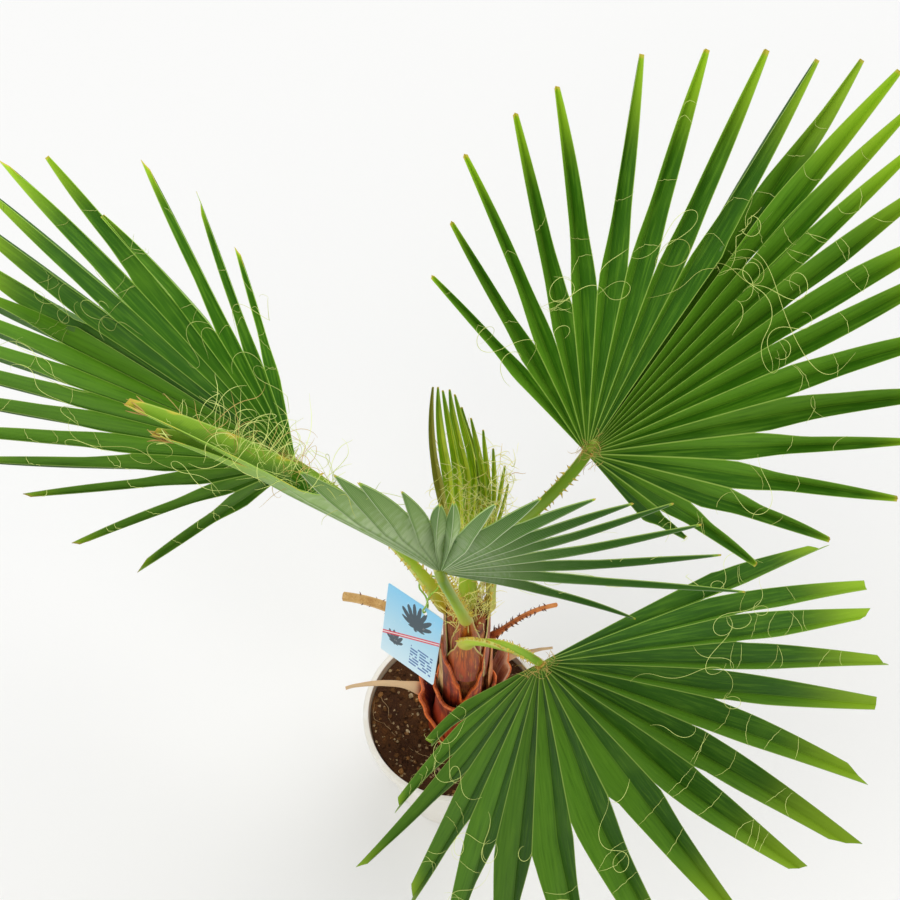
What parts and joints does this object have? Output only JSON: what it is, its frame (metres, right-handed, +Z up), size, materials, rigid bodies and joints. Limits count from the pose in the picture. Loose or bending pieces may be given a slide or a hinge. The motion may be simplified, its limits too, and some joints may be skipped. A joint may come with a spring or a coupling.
{
  "type": "potted fan palm",
  "caption": "Young fan palm in a tapered nursery pot: pleated fan leaves on arching stalks, split brown leaf bases round a short trunk, and a hanging plant label.",
  "frame": {"origin": "middle of the pot's underside, on the surface it stands on", "axes": "+Z up along the trunk, -Y towards the side the plant is seen from, +X to the right"},
  "size_m": [0.7583, 0.5457, 0.9413],
  "materials": {
    "pot_white": "satin",
    "potting_soil": "matte",
    "pumice": "matte",
    "trunk_bark": "matte",
    "dry_leaf_base": "matte",
    "leaf_green": "satin",
    "young_leaf": "satin",
    "label_card": "satin",
    "tie_green": "satin"
  },
  "bodies": {
    "root": {"pot": "pot_white", "soil": "potting_soil", "pumice_grain_1": "pumice", "pumice_grain_2": "pumice", "pumice_grain_3": "pumice", "pumice_grain_4": "pumice", "pumice_grain_5": "pumice", "pumice_grain_6": "pumice", "pumice_grain_7": "pumice", "pumice_grain_8": "pumice", "trunk": "trunk_bark", "dry_stub_left": "dry_leaf_base", "dry_stub_right": "dry_leaf_base", "old_base_left": "dry_leaf_base", "old_base_front": "dry_leaf_base", "old_base_right": "dry_leaf_base", "old_base_back": "dry_leaf_base", "leaf_upper_right": "leaf_green", "leaf_left": "leaf_green", "leaf_front": "leaf_green", "leaf_lower_right": "leaf_green", "leaf_unfolding": "young_leaf", "plant_label": "label_card", "label_tie": "tie_green"}
  },
  "joints": []
}
